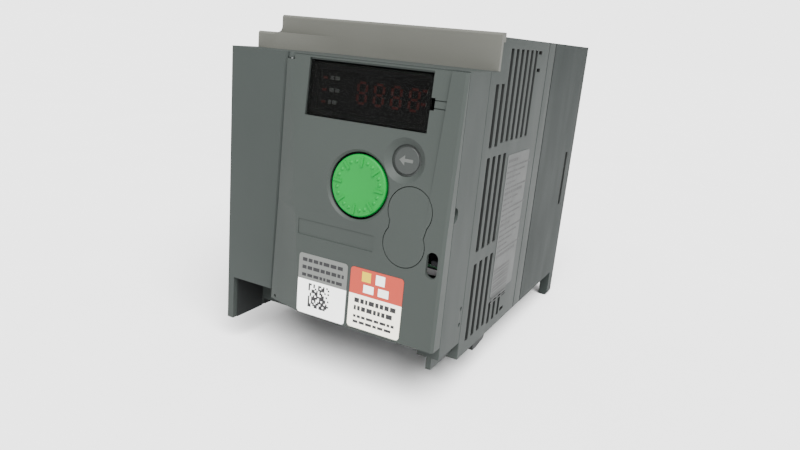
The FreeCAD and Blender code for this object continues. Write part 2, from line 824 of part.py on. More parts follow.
def keypad_board():
    deep = ("board_front", "board_front + board_thickness")
    board = block("keypad_board_blank", ("carrier_left + 1.5", "carrier_right - 1.5"), deep, (-0.5, 55.6))
    holes = []
    for index, (x, z) in enumerate(KEYPAD_SCREWS):
        holes.append(rod(f"keypad_hole_{index}", "y", (x, z), 1.2, 10, 14))
    keep(cut("KeypadBoard", board, holes), "keypad_board", KEYPAD_FRAME)
    screws = []
    pillars = []
    for index, (x, z) in enumerate(KEYPAD_SCREWS):
        pillars.append(rod(f"keypad_pillar_{index}", "y", (x, z), 2.4, "carrier_back", "board_front"))
        head = rod(f"keypad_head_{index}", "y", (x, z), 2.3, "board_front + board_thickness", 14)
        shank = rod(f"keypad_shank_{index}", "y", (x, z), 1.2, "board_front", 14)
        screws.append(join(f"keypad_screw_{index}", [head, shank]))
    keep(group("KeypadPillars", pillars), "keypad_pillars", KEYPAD_FRAME)
    keep(group("KeypadScrews", screws), "keypad_screws", KEYPAD_FRAME)


def jog_dial():
    """The knob: a shallow dished disc with eight ribs, sixteen dots and a blind hub."""
    body = new_body("JogDial")
    middle = ("dial_x", "dial_z")
    disc = sketch_on(body, "XZ", "-dial_back")
    draw_circle(disc, *middle, "dial_radius")
    plain_disc = pad(body, disc, "dial_back - dial_front")
    doc.recompute()
    front = number("dial_front")
    rim = edges_where(body.Shape, lambda edge: abs(edge.CenterOfMass.y - front) < 0.01)
    rounding = body.newObject("PartDesign::Fillet", "dial_round")
    rounding.Base = (plain_disc, rim)
    rounding.Radius = 0.9
    body.Tip = rounding
    hub = rod("dial_hub", "y", middle, "spindle_radius + 1.6", "dial_back", 4)
    bowl = doc.addObject("Part::Sphere", "dial_bowl")
    bowl.Radius = 60
    bowl.Placement = FreeCAD.Placement(point("dial_x", "dial_front - 59.4", "dial_z"), FreeCAD.Rotation())
    bore = rod("dial_bore", "y", middle, "spindle_radius", "dial_web", 5)
    ring = rod("ring_outer", "y", middle, 10.6, "dial_web", 3)
    hollow = cut("dial_back_ring", ring, [rod("ring_inner", "y", middle, "spindle_radius + 1.6", 1, 4)])
    bumps = []
    for index in range(8):
        angle = index * 45 + 4
        rib = block(f"dial_rib_{index}", (7.4, 11.2), ("dial_front - 0.4", "dial_front + 0.6"), (-0.45, 0.45))
        bumps.append(turned_about_dial(rib, angle))
        for offset in (15, 30):
            bumps.append(turned_about_dial(dial_dot(f"dial_dot_{index}_{offset}"), angle + offset))
    solid = cut("dial_cut", join("dial_solid", [body, hub]), [bowl, bore, hollow])
    keep(join("Dial", [solid] + bumps), "jog_dial", KEYPAD_FRAME)
    spindle = rod("spindle", "y", middle, "spindle_radius", "dial_web", 8.6)
    keep(group("Spindle", [spindle]), "dial_spindle", KEYPAD_FRAME)


def dial_dot(name):
    dot = doc.addObject("Part::Sphere", name)
    dot.Radius = 0.8
    dot.Placement = FreeCAD.Placement(point(9.4, "dial_front + 0.3", 0), FreeCAD.Rotation())
    return dot


def turned_about_dial(solid, angle):
    """A copy holder that turns a piece drawn about the Y axis and moves it to the dial's middle."""
    holder = group(f"{solid.Name}_turned", [solid])
    turn = FreeCAD.Rotation(FreeCAD.Vector(0, 1, 0), angle)
    holder.Placement = FreeCAD.Placement(point("dial_x", 0, "dial_z"), turn)
    return holder


def encoder():
    middle = ("dial_x", "dial_z")
    across = ("dial_x - 6.2", "dial_x + 6.2")
    up = ("dial_z - 6.6", "dial_z + 6.6")
    can = block("encoder_can", across, (6.9, "board_front"), up)
    neck = rod("encoder_neck", "y", middle, 4.4, 4.9, 6.9)
    bore = rod("encoder_bore", "y", middle, "spindle_radius + 0.05", 4, 10.6)
    keep(cut("EncoderBody", join("encoder_solid", [can, neck]), [bore]), "encoder_body", KEYPAD_FRAME)
    keep(group("Plunger", [rod("plunger", "y", middle, 2.7, 8.65, 9.6)]), "encoder_plunger", KEYPAD_FRAME)


def exit_button():
    """The round exit key, its retaining flange and stem, and the switch behind it."""
    middle = ("exit_x", "exit_z")
    cap_blank = rod("exit_cap_blank", "y", middle, "exit_cap_radius", "exit_front", 3.3)
    front = number("exit_front")
    cap = round_edges("exit_cap", cap_blank, 0.6, lambda edge: abs(edge.CenterOfMass.y - front) < 0.01)
    flange = rod("exit_flange", "y", middle, "exit_cap_radius + 1", 2.4, 3.4)
    stem = rod("exit_stem", "y", middle, 2.2, 3, 7.2)
    keep(join("ExitButton", [cap, flange, stem]), "exit_button", KEYPAD_FRAME)
    across = ("exit_x - 3", "exit_x + 3")
    body = block("exit_switch_body", across, (8.4, "board_front"), ("exit_z - 3", "exit_z + 3"))
    nib = rod("exit_switch_nib", "y", middle, 1.6, 8, 8.6)
    keep(join("ExitSwitch", [body, nib]), "exit_switch", KEYPAD_FRAME)


# ---------------------------------------------------------------- rear: cooling and mounting

def rear_shroud():
    """Side walls and back plate round the heatsink, with keyholes above and open feet below."""
    back = ("casing_depth - wall", "casing_depth")
    pieces = [block("back_plate", (f"-{HALF}", HALF), back, ("0", "casing_height"))]
    for side, word in BOTH:
        across = span(side, INNER, HALF)
        pieces.append(block(f"{word}_shroud", across, ("casing_rear", "casing_depth"), (0, "casing_height")))
        foot = span(side, "mount_spacing_x / 2 - 8", HALF)
        pieces.append(block(f"{word}_foot", foot, ("casing_depth - 8", "casing_depth"), ("foot_bottom", 0.5)))
    bar_deep = ("casing_rear + 0.4", "casing_rear + 2.4")
    pieces.append(block("cross_bar", (f"-{HALF}", HALF), bar_deep, ("casing_roof", "casing_height")))
    holes = []
    through = ("casing_depth - 12", "casing_depth + 3")
    for side, word in BOTH:
        x = f"{side} * mount_spacing_x / 2"
        across = (f"{x} - slot_width / 2", f"{x} + slot_width / 2")
        holes.append(rod(f"{word}_key_head", "y", (x, "mount_upper - key_drop"), "key_head / 2", *through))
        holes.append(block(f"{word}_key_slot", across, through, ("mount_upper - key_drop", "mount_upper")))
        holes.append(rod(f"{word}_key_top", "y", (x, "mount_upper"), "slot_width / 2", *through))
        holes.append(block(f"{word}_foot_slot", across, through, ("foot_bottom - 1", "mount_lower")))
        holes.append(rod(f"{word}_foot_top", "y", (x, "mount_lower"), "slot_width / 2", *through))
        through_side = span(side, f"{INNER} - 1", f"{HALF} + 1")
        holes.append(block(f"{word}_side_slot", through_side, (152.2, 156.4), (43, 73)))
        edge = span(side, f"{HALF} - seam_groove", f"{HALF} + 1")
        seam = ("casing_rear - 1", "casing_rear + seam_groove")
        holes.append(block(f"{word}_seam_groove", edge, seam, (-1, "casing_height + 1")))
    for word, low, high in (("lower", 14, 47), ("upper", 66, 112)):
        holes.append(block(f"{word}_back_window", (-34, 34), through, (low, high)))
    shroud = cut("shroud_cut", join("shroud_walls", pieces), holes)

    def foot_corner(edge):
        middle = edge.CenterOfMass
        return runs_along(edge, 1) and abs(middle.z - number("foot_bottom")) < 0.01

    keep(round_edges("RearShroud", shroud, 1.6, foot_corner), "rear_shroud")


def heatsink():
    """Extruded aluminium: a thick base plate and vertical fins."""
    body = new_body("Heatsink")
    profile = sketch_on(body, "XY", "24")
    width = "49.8"
    corners = [(f"-{width}", "casing_rear + 0.4"), (width, "casing_rear + 0.4"), (width, "plate_rear")]
    for index in reversed(range(-7, 8)):
        x = f"{index} * fin_pitch"
        corners += [
            (f"{x} + fin_thickness / 2", "plate_rear"),
            (f"{x} + fin_thickness / 2", "fin_rear"),
            (f"{x} - fin_thickness / 2", "fin_rear"),
            (f"{x} - fin_thickness / 2", "plate_rear"),
        ]
    corners.append((f"-{width}", "plate_rear"))
    draw_polygon(profile, corners)
    pad(body, profile, "102")
    keep(body, "heatsink")


def fan():
    """Axial fan below the fins: square frame, bladed rotor and finger guard."""
    half_fan = "fan_size / 2"
    across = (f"-{half_fan}", half_fan)
    deep = (f"fan_y - {half_fan}", f"fan_y + {half_fan}")
    at = (0, "fan_y")
    frame = block("fan_block", across, deep, ("fan_low", "fan_high"))
    bore = rod("fan_bore", "z", at, "rotor_radius + 1", "fan_low - 1", "fan_high + 1")
    ring = cut("fan_ring", frame, [bore])
    motor = rod("fan_motor", "z", at, 8, "fan_high - 3", "fan_high")
    struts = [block("strut_across", across, ("fan_y - 1", "fan_y + 1"), ("fan_high - 2", "fan_high"))]
    struts.append(block("strut_deep", (-1, 1), deep, ("fan_high - 2", "fan_high")))
    holder = join("fan_holder", [ring, motor] + struts)
    axle_hole = rod("axle_hole", "z", at, 1.05, 0, 20)
    keep(cut("FanFrame", holder, [axle_hole]), "fan_frame")

    hub = rod("rotor_hub", "z", at, 9, "fan_low + 1", "fan_high - 3.5")
    axle = rod("rotor_axle", "z", at, 1, "fan_low + 2", "fan_high - 0.2")
    blades = []
    for index in range(7):
        blade = block(f"blade_{index}", (8.4, "rotor_radius"), (-0.5, 0.5), (-3.6, 3.6))
        blade.Placement = FreeCAD.Placement(FreeCAD.Vector(8.4, -0.5, -3.6), FreeCAD.Rotation())
        pitched = group(f"blade_{index}_pitched", [blade])
        pitch = FreeCAD.Rotation(FreeCAD.Vector(1, 0, 0), 38)
        spin = FreeCAD.Rotation(FreeCAD.Vector(0, 0, 1), index * 360 / 7)
        pitched.Placement = FreeCAD.Placement(point(0, "fan_y", "fan_low + 5.6"), spin.multiply(pitch))
        blades.append(pitched)
    keep(join("FanRotor", [hub, axle] + blades), "fan_rotor")

    rings = []
    for radius in (8, 13, 18, 22.5):
        outer = rod(f"guard_outer_{int(radius)}", "z", at, radius, 1.6, 2.8)
        inner = rod(f"guard_inner_{int(radius)}", "z", at, radius - 1.2, 1, 3)
        rings.append(cut(f"guard_ring_{int(radius)}", outer, [inner]))
    for index in range(2):
        spoke = block(f"guard_spoke_{index}", (-24, 24), (-0.6, 0.6), (0, 1.2))
        spoke.Placement = FreeCAD.Placement(FreeCAD.Vector(-24, -0.6, 0), FreeCAD.Rotation())
        turned = group(f"guard_spoke_{index}_turned", [spoke])
        turn = FreeCAD.Rotation(FreeCAD.Vector(0, 0, 1), 45 + 90 * index)
        turned.Placement = FreeCAD.Placement(point(0, "fan_y", 1.6), turn)
        rings.append(turned)
    feet = []
    for side, word in BOTH:
        across = span(side, f"{half_fan} - 3", INNER)
        bar_deep = ("fan_y - 10", "fan_y + 10")
        feet.append(block(f"{word}_fan_bar", across, bar_deep, ("fan_low - 2.4", "fan_low")))
        feet.append(block(f"{word}_fan_post", span(side, 22, 24), ("fan_y - 3", "fan_y + 3"), (1.6, 2.8)))
    keep(join("FanGuard", rings + feet), "fan_guard")


# ---------------------------------------------------------------- power and control electronics

def power_module():
    """The sealed bridge of power switches on the heatsink, with its rows of pins."""
    base = block("module_base", (-26, 26), (93, "casing_rear + 0.4"), (42, 84))
    holes = [rod(f"module_hole_{index}", "y", (x, 63), 2.2, 90, 104) for index, x in enumerate((-22, 22))]
    case = cut("module_case", base, holes)
    pins = []
    for index in range(9):
        for low in (45, 80):
            x = -16 + index * 4
            pin = (x - 0.4, x + 0.4)
            pins.append(block(f"pin_{index}_{low}", pin, ("power_board", 93), (low, low + 0.8)))
    keep(join("PowerModule", [case] + pins), "power_module")


CAPACITORS = ((-34, 104), (-6, 104), (-34, 76), (-6, 76))
PILLARS = ((-45, 122), (45, 122), (-45, 32), (45, 32))


def power_board():
    deep = ("power_board - board_thickness", "power_board")
    blank = block("power_blank", (-49, 49), deep, (28, 125))
    holes = []
    for index in range(9):
        for low in (45, 80):
            x = -16 + index * 4
            hole = (x - 0.4, x + 0.4)
            holes.append(block(f"pin_hole_{index}_{low}", hole, deep, (low, low + 0.8)))
    for index, (x, z) in enumerate(PILLARS):
        holes.append(rod(f"power_hole_{index}", "y", (x, z), 1.6, 80, 92))
    keep(cut("PowerBoard", blank, holes), "power_board")

    pillars = []
    screws = []
    for index, (x, z) in enumerate(PILLARS):
        pillars.append(rod(f"pillar_{index}", "y", (x, z), 2.6, "power_board", "casing_rear + 0.4"))
        front = "power_board - board_thickness"
        head = rod(f"screw_head_{index}", "y", (x, z), 2.9, f"{front} - 2", front)
        shank = rod(f"screw_shank_{index}", "y", (x, z), 1.5, f"{front} - 1", "power_board")
        screws.append(join(f"board_screw_{index}", [head, shank]))
    keep(group("BoardPillars", pillars), "board_pillars")
    keep(group("BoardScrews", screws), "board_screws")


def board_parts():
    """Large parts on the front of the power board."""
    front = "power_board - board_thickness"
    cans = [rod(f"can_{index}", "y", at, 12.5, 46, front) for index, at in enumerate(CAPACITORS)]
    rounded = []
    for index, can in enumerate(cans):
        rounded.append(round_edges(f"can_round_{index}", can, 1, lambda edge: edge.CenterOfMass.y < 47))
    keep(group("DcCapacitors", rounded), "dc_capacitors")

    core = block("core", (14, 40), (62, front), (92, 116))
    coil = block("coil", (18, 36), (58, front), (89, 119))
    keep(join("Transformer", [core, coil]), "switching_transformer")

    relays = [block(f"relay_{low}", (14, 30), (70, front), (low, low + 16)) for low in (46, 65)]
    keep(group("Relays", relays), "relays")
    box_capacitor = block("box_blank", (33, 46), (64, front), (44, 74))
    film_capacitor = round_edges("FilmCapacitor", box_capacitor, 0.8, lambda edge: edge.CenterOfMass.y < 70)
    keep(film_capacitor, "film_capacitor")

    outer = rod("choke_outer", "y", (-36, 48), 11, 72, front)
    inner = rod("choke_inner", "y", (-36, 48), 5, 70, 90)
    keep(cut("Choke", outer, [inner]), "filter_choke")


def terminal_blocks():
    """Power terminals low down, control terminals above them, both behind the door."""
    base = block("power_terminal_blank", (-22, 42), (50, "power_board - board_thickness"), (28, 42))
    step = block("power_terminal_step", (-22, 42), (44, 51), (28, 36))
    sockets = []
    screws = []
    for index in range(6):
        x = -16 + index * 10.6
        sockets.append(block(f"wire_way_{index}", (x - 3, x + 3), (43, 50), (29.4, 34.6)))
        sockets.append(rod(f"screw_way_{index}", "y", (x, 38.8), 3, 49, 60))
        head = rod(f"terminal_head_{index}", "y", (x, 38.8), 2.7, 52, 60)
        cross = block(f"terminal_cross_{index}", (x - 1.8, x + 1.8), (51, 53), (38.4, 39.2))
        screws.append(cut(f"terminal_screw_{index}", head, [cross]))
    keep(cut("PowerTerminals", join("power_terminal_solid", [base, step]), sockets), "power_terminals")
    keep(group("TerminalScrews", screws), "terminal_screws")

    strip_base = block("control_terminal_blank", (-16, 28), (20, "control_board"), (44, 53))
    ways = [rod(f"control_way_{index}", "y", (-13.2 + index * 4.4, 48.5), 1.5, 19, 26) for index in range(10)]
    keep(cut("ControlTerminals", strip_base, ways), "control_terminals")

    jack = block("jack_blank", (31, 46), (16, "control_board"), (42, 55.4))
    mouth = block("jack_mouth", (32.6, 44.4), (15, 26), (44, 51.6))
    keep(cut("DataSocket", jack, [mouth]), "data_socket")


def control_board():
    deep = ("control_board", "control_board + board_thickness")
    blank = block("control_blank", (-22, 49), deep, (40, 113))
    keep(group("ControlBoard", [blank]), "control_board")
    chips = [
        block("processor", (4, 18), ("control_board + board_thickness", 33.4), (74, 88)),
        block("memory", (24, 34), ("control_board + board_thickness", 33.2), (76, 83)),
        block("gate_driver", (-14, -4), ("control_board + board_thickness", 33.6), (60, 74)),
    ]
    keep(group("ControlChips", chips), "control_chips")
    supports = []
    behind_board = ("control_board + board_thickness", 43)
    for index, at in enumerate(((-18, 110), (45, 110), (-18, 58), (45, 58))):
        supports.append(rod(f"control_pillar_{index}", "y", at, 2.2, *behind_board))
    keep(group("ControlPillars", supports), "control_pillars")
    shield = block("insulator_plate", (-49.6, 49.6), (43, 44.4), (44, 114.6))
    keep(group("Insulator", [shield]), "insulating_shield")


def earth_plate():
    """Bent metal plate below the terminals where the cable screens are clamped."""
    flat = block("earth_flat", (-30, 30), (24, 44), (4.2, 5.4))
    tab = block("earth_tab", (-30, 30), (24, 25.2), (5.4, 12))
    holes = [rod(f"earth_hole_{index}", "z", (x, 36), 2, 3, 7) for index, x in enumerate((-20, 0, 20))]
    keep(cut("EarthPlate", join("earth_solid", [flat, tab]), holes), "earth_plate")
    screws = []
    for index, x in enumerate((-20, 0, 20)):
        head = rod(f"earth_head_{index}", "z", (x, 36), 3.6, 5.4, 8)
        shank = rod(f"earth_shank_{index}", "z", (x, 36), 1.9, 1.5, 6)
        slot = block(f"earth_slot_{index}", (x - 2.8, x + 2.8), (35.6, 36.4), (7, 9))
        screws.append(cut(f"earth_screw_{index}", join(f"earth_screw_solid_{index}", [head, shank]), [slot]))
    keep(group("EarthScrews", screws), "earth_screws")


def build_all():
    main_casing()
    top_cover()
    front_housing()
    compartment_liner()
    base_clip()
    cable_guard()
    front_door()
    door_labels()
    blanking_panel()
    seal_eyelet()
    side_label()
    hinge_pins()
    keypad_carrier()
    display_window()
    display()
    keypad_board()
    jog_dial()
    encoder()
    exit_button()
    rear_shroud()
    heatsink()
    fan()
    power_module()
    power_board()
    board_parts()
    terminal_blocks()
    control_board()
    earth_plate()


def check_and_write():
    """Stops on any failed object or bad shape, then writes one STEP file for each sub-part."""
    doc.recompute()
    failed = [item.Name for item in doc.Objects if "Invalid" in item.State or "Error" in item.State]
    if failed:
        raise RuntimeError(f"failed objects: {failed}")
    for thing in sub_parts:
        if thing.Shape.isNull() or not thing.Shape.isValid() or not thing.Shape.Solids:
            raise RuntimeError(f"bad shape: {thing.Label}")
    os.makedirs("parts", exist_ok=True)
    for thing in sub_parts:
        thing.Shape.exportStep(f"parts/{thing.Label}.step")
        box = thing.Shape.BoundBox
        print(f"{thing.Label:22s} {len(thing.Shape.Solids):3d} solids {thing.Shape.Volume:10.1f} mm3"
              f"  x {box.XMin:7.2f} {box.XMax:7.2f}  y {box.YMin:8.2f} {box.YMax:8.2f}"
              f"  z {box.ZMin:7.2f} {box.ZMax:7.2f}")


build_all()
check_and_write()
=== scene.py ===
"""Looks of the variable frequency drive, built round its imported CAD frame, in metres."""
import json
import math
import random

import bmesh
import bpy
from mathutils import Euler, Matrix, Quaternion, Vector

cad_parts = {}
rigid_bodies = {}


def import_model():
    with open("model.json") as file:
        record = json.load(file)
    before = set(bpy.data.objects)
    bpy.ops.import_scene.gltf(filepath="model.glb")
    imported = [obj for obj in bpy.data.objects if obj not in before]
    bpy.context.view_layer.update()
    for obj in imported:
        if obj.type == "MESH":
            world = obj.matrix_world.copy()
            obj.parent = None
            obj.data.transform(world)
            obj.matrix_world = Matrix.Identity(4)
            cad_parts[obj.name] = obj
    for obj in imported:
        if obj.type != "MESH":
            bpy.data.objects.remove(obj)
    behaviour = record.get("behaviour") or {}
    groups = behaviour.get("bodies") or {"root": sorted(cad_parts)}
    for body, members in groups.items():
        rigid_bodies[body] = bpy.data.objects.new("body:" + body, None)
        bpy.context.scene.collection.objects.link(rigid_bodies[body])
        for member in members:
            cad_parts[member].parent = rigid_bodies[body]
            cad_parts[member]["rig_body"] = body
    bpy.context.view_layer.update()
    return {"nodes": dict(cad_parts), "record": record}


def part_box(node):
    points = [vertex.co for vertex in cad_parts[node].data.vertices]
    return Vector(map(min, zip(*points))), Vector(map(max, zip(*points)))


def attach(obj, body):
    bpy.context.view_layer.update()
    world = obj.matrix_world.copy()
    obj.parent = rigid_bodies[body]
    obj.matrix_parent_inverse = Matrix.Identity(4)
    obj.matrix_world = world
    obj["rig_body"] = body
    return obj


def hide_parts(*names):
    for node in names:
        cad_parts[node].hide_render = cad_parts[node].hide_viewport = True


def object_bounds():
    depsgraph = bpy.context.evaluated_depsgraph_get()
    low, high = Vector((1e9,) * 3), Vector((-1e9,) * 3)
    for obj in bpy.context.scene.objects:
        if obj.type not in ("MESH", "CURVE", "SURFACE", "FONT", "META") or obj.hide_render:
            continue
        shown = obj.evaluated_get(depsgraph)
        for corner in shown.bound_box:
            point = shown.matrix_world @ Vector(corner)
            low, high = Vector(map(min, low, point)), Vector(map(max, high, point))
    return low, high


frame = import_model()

MM = 0.001
scene = bpy.context.scene
nodes = frame["nodes"]


# ---------------------------------------------------------------- places on the drive

# The door stands out from the seam plane, most at its bottom, a little less at the kink half
# way up, and hardly at all at the top of the keypad face, which slopes back from the kink.
DOOR_BOTTOM = 13.5 * MM
DOOR_KINK = 58 * MM
DOOR_TOP = 116.8 * MM
BULGE_BOTTOM = 6.8 * MM
BULGE_KINK = 6.0 * MM
DISH_TOP = 0.5 * MM

casing_low, casing_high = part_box("main_casing")
door_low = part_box("front_door")[0]
SIDE = casing_high.x
WALL = 2.0 * MM
BOTTOM = casing_low.z
SEAM = door_low.y + BULGE_BOTTOM

# In keypad axes: the face and middle height of the exit key's cap, and the display module's face.
EXIT_FRONT = 1.8 * MM
EXIT_UP = 25.6 * MM
MODULE_FRONT = 4.0 * MM


def lower_face(x, height, lift):
    """A point on the lower, nearly upright face of the door, lifted off it by a little."""
    share = (height - DOOR_BOTTOM) / (DOOR_KINK - DOOR_BOTTOM)
    depth = BULGE_BOTTOM + share * (BULGE_KINK - BULGE_BOTTOM)
    return Vector((x, SEAM - depth - lift, BOTTOM + height))


TILT = math.atan2(BULGE_KINK - DISH_TOP, DOOR_TOP - DOOR_KINK)
KINK_POINT = (0, SEAM - BULGE_KINK, BOTTOM + DOOR_KINK)
KEYPAD = Matrix.Translation(KINK_POINT) @ Matrix.Rotation(-TILT, 4, "X")


def keypad_point(x, depth, up):
    """A point in keypad axes: depth goes into the sloping face, up runs along it."""
    return KEYPAD @ Vector((x, depth, up))


# ---------------------------------------------------------------- node helpers

class Shader:
    """A material under construction, with its nodes, main shader and object coordinates."""

    def __init__(self, name):
        self.material = bpy.data.materials.new(name)
        self.material.use_nodes = True
        self.tree = self.material.node_tree
        self.principled = self.tree.nodes["Principled BSDF"]
        self.place = self.tree.nodes.new("ShaderNodeTexCoord").outputs["Object"]

    def add(self, kind, **settings):
        """Adds a node and gives it its settings."""
        node = self.tree.nodes.new(kind)
        for key, value in settings.items():
            setattr(node, key, value)
        return node

    def link(self, source, target):
        self.tree.links.new(source, target)

    def set(self, **values):
        """Sets sockets of the main shader, with underscores for the spaces in their names."""
        for key, value in values.items():
            self.principled.inputs[key.replace("_", " ")].default_value = value
        return self

    def noise(self, scale, detail=2.0, stretch=None):
        """Noise with so many cells to a metre, stretched along the axes where that is given."""
        node = self.add("ShaderNodeTexNoise")
        node.inputs["Scale"].default_value = scale
        node.inputs["Detail"].default_value = detail
        source = self.place
        if stretch:
            mapping = self.add("ShaderNodeMapping")
            mapping.inputs["Scale"].default_value = stretch
            self.link(source, mapping.inputs["Vector"])
            source = mapping.outputs["Vector"]
        self.link(source, node.inputs["Vector"])
        return node.outputs["Fac"]

    def ramp(self, source, first, second):
        """Colours a value: first and second are a position and a colour each."""
        node = self.add("ShaderNodeValToRGB")
        for element, (position, color) in zip(node.color_ramp.elements, (first, second)):
            element.position = position
            element.color = (*color, 1)
        self.link(source, node.inputs["Fac"])
        return node.outputs["Color"]

    def spread(self, source, low, high):
        """Maps a value from 0 and 1 to low and high."""
        node = self.add("ShaderNodeMapRange")
        node.inputs["To Min"].default_value = low
        node.inputs["To Max"].default_value = high
        self.link(source, node.inputs["Value"])
        return node.outputs["Result"]

    def paint(self, color):
        self.link(color, self.principled.inputs["Base Color"])

    def polish(self, source, low, high):
        """Varies the roughness between low and high."""
        self.link(self.spread(source, low, high), self.principled.inputs["Roughness"])

    def emboss(self, source, height, strength):
        """Raises the surface by a value, and hands over the finished material."""
        node = self.add("ShaderNodeBump")
        node.inputs["Strength"].default_value = strength
        node.inputs["Distance"].default_value = height
        self.link(source, node.inputs["Height"])
        self.link(node.outputs["Normal"], self.principled.inputs["Normal"])
        return self.material


def shade(color, factor):
    return tuple(min(1.0, channel * factor) for channel in color)


# ---------------------------------------------------------------- materials

MOULD_GRAIN = 0.04 * MM
FINE_GRAIN = 0.008 * MM
FILM_GRAIN = 0.02 * MM
TRACK_HEIGHT = 0.03 * MM
PRINT_BLUR = 0.06 * MM


def moulded_plastic(name, color, roughness=0.5, grain=MOULD_GRAIN, cells=2600, variation=0.06, shine=0.3):
    """Grained injection moulded plastic, with faint flow shading and handling marks."""
    shader = Shader(name).set(Specular_IOR_Level=shine)
    flow = shader.noise(scale=14, detail=3.0)
    darker = shade(color, 1 - variation)
    lighter = shade(color, 1 + variation)
    shader.paint(shader.ramp(flow, (0.3, darker), (0.7, lighter)))
    marks = shader.noise(scale=90, detail=4.0, stretch=(1, 1, 0.3))
    shader.polish(marks, roughness - 0.08, roughness + 0.1)
    return shader.emboss(shader.noise(scale=cells), grain, strength=0.5)


def film(name, low_color, high_color, split_height, roughness=0.35):
    """Printed label film in two colours, split at a height above the casing's bottom."""
    shader = Shader(name)
    separate = shader.add("ShaderNodeSeparateXYZ")
    shader.link(shader.place, separate.inputs["Vector"])
    edge = shader.add("ShaderNodeMapRange")
    edge.inputs["From Min"].default_value = BOTTOM + split_height - PRINT_BLUR
    edge.inputs["From Max"].default_value = BOTTOM + split_height + PRINT_BLUR
    shader.link(separate.outputs["Z"], edge.inputs["Value"])
    print_color = shader.ramp(edge.outputs["Result"], (0.0, low_color), (1.0, high_color))
    mottle = shader.noise(scale=160, detail=3.0)
    soiling = shader.ramp(mottle, (0.0, (0.93, 0.93, 0.93)), (1.0, (1, 1, 1)))
    mix = shader.add("ShaderNodeMixRGB", blend_type="MULTIPLY")
    mix.inputs["Fac"].default_value = 1.0
    shader.link(print_color, mix.inputs["Color1"])
    shader.link(soiling, mix.inputs["Color2"])
    shader.paint(mix.outputs["Color"])
    shader.polish(mottle, roughness - 0.05, roughness + 0.1)
    return shader.emboss(shader.noise(scale=420), FILM_GRAIN, strength=0.4)


def metal(name, color, roughness=0.3, stretch=(1, 1, 12)):
    """Metal with fine drawn lines."""
    shader = Shader(name).set(Metallic=1.0)
    lines = shader.noise(scale=300, detail=3.0, stretch=stretch)
    shader.paint(shader.ramp(lines, (0.2, shade(color, 0.8)), (0.8, shade(color, 1.08))))
    shader.polish(lines, roughness - 0.08, roughness + 0.12)
    return shader.emboss(lines, FILM_GRAIN, strength=0.5)


def smoked_window():
    """Dark tinted plastic that lets a little light straight through, with faint wipe marks."""
    shader = Shader("window_smoke").set(Alpha=0.62, Specular_IOR_Level=0.05)
    haze = shader.noise(scale=60, detail=3.0, stretch=(1, 1, 0.4))
    shader.paint(shader.ramp(haze, (0.3, (0.003, 0.0032, 0.003)), (0.7, (0.0045, 0.0047, 0.0044))))
    shader.polish(haze, 0.12, 0.2)
    return shader.material


def display_red():
    """Dull red segments with a faint glow."""
    shader = Shader("display_red").set(Emission_Strength=0.06, Roughness=0.5, Specular_IOR_Level=0.1)
    shader.set(Emission_Color=(1.0, 0.08, 0.04, 1))
    glow = shader.noise(scale=700)
    shader.paint(shader.ramp(glow, (0.2, (0.16, 0.014, 0.008)), (0.8, (0.24, 0.022, 0.012))))
    return shader.emboss(glow, FILM_GRAIN, strength=0.3)


def circuit_board():
    """Solder mask with copper tracks under it."""
    shader = Shader("board_green").set(Roughness=0.35)
    tracks = shader.add("ShaderNodeTexBrick")
    tracks.inputs["Scale"].default_value = 260
    tracks.inputs["Mortar Size"].default_value = 0.03
    tracks.inputs["Color1"].default_value = (0.012, 0.11, 0.045, 1)
    tracks.inputs["Color2"].default_value = (0.01, 0.085, 0.035, 1)
    tracks.inputs["Mortar"].default_value = (0.03, 0.22, 0.09, 1)
    turn = shader.add("ShaderNodeMapping")
    turn.inputs["Rotation"].default_value = (math.pi / 2, 0, 0)
    shader.link(shader.place, turn.inputs["Vector"])
    shader.link(turn.outputs["Vector"], tracks.inputs["Vector"])
    shader.paint(tracks.outputs["Color"])
    return shader.emboss(tracks.outputs["Fac"], TRACK_HEIGHT, strength=0.4)


PLASTICS = {
    "casing_grey": dict(color=(0.0272, 0.0318, 0.0298), roughness=0.52, shine=0.08),
    "door_grey": dict(color=(0.0295, 0.0345, 0.0318), roughness=0.48, shine=0.1),
    "cover_grey": dict(color=(0.072, 0.073, 0.064), roughness=0.46, shine=0.15),
    # The rear shroud's plastic: partly its own slightly darker tone, partly painted shade against the sheen
    # it catches at a grazing angle.
    "shroud_grey_and_painted_shade": dict(color=(0.0185, 0.0222, 0.021), roughness=0.58, shine=0.05),
    # Painted shade: a near-black copy of the casing plastic for the slots' flanks and the blades behind
    # them.
    "slot_painted_shade": dict(color=(0.006, 0.007, 0.0065), roughness=0.6),
    "dial_green": dict(color=(0.0002, 0.15, 0.021), roughness=0.45, cells=1800, variation=0.05, shine=0.12),
    "button_dark": dict(color=(0.021, 0.024, 0.0225)),
    "module_black": dict(color=(0.009, 0.009, 0.01), roughness=0.6, grain=FINE_GRAIN, shine=0.08),
    "rotor_black": dict(color=(0.015, 0.015, 0.016), grain=FINE_GRAIN, shine=0.12),
    "carrier_black": dict(color=(0.011, 0.012, 0.012), roughness=0.6, grain=FINE_GRAIN, shine=0.1),
    "terminal_green": dict(color=(0.02, 0.12, 0.05), roughness=0.45),
    "capacitor_sleeve": dict(color=(0.015, 0.03, 0.09), roughness=0.25, variation=0.1),
    "coil_amber": dict(color=(0.5, 0.3, 0.05), roughness=0.4, variation=0.15),
    "nylon_white": dict(color=(0.6, 0.6, 0.57), roughness=0.4),
    "ink_dark": dict(color=(0.01, 0.01, 0.011), grain=FINE_GRAIN),
    "ink_white": dict(color=(0.75, 0.76, 0.74), grain=FINE_GRAIN, variation=0.02),
    "ink_yellow": dict(color=(0.48, 0.34, 0.004), roughness=0.45, grain=FINE_GRAIN, variation=0.02),
    "ink_mark": dict(color=(0.3, 0.32, 0.3), grain=FINE_GRAIN),
    "ink_faded": dict(color=(0.005, 0.0055, 0.0053), grain=FINE_GRAIN),
    "ink_key": dict(color=(0.06, 0.064, 0.06), grain=FINE_GRAIN),
}
